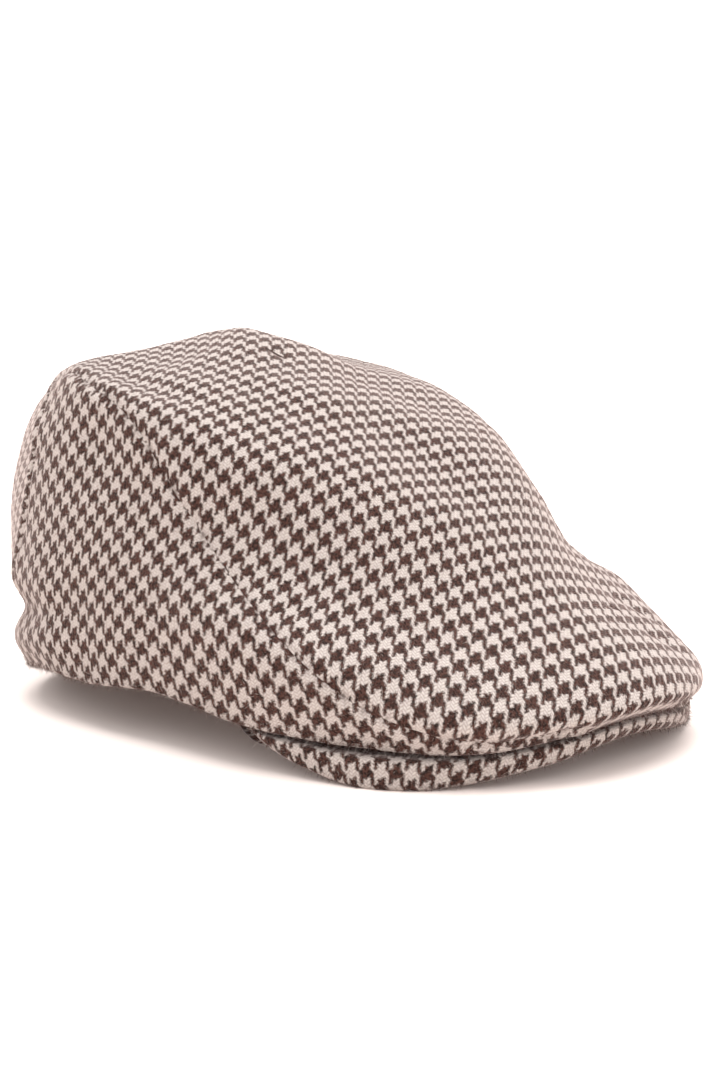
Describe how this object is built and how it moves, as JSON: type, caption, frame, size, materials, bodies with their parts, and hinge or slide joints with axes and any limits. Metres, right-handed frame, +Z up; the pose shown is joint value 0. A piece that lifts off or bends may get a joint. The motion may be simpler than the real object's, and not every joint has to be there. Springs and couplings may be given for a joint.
{
  "type": "flat cap",
  "caption": "Long-billed flat cap: a curved top panel and side panels over a tucked-in visor, open below for the head.",
  "frame": {"origin": "middle of the cap's outline on the surface that it rests on", "axes": "+Z up, -Y to the front over the visor, +X to the wearer's left"},
  "size_m": [0.1782, 0.2706, 0.1288],
  "materials": {
    "top_cloth": "brushed wool, cream and dark brown houndstooth on the straight grain",
    "side_cloth": "brushed wool, cream and dark brown houndstooth on the bias",
    "visor_cloth": "brushed wool, cream and dark brown houndstooth along the lip"
  },
  "bodies": {
    "root": {"top_panel": "top_cloth", "side_panel_right": "side_cloth", "side_panel_left": "side_cloth", "visor": "visor_cloth"}
  },
  "joints": []
}
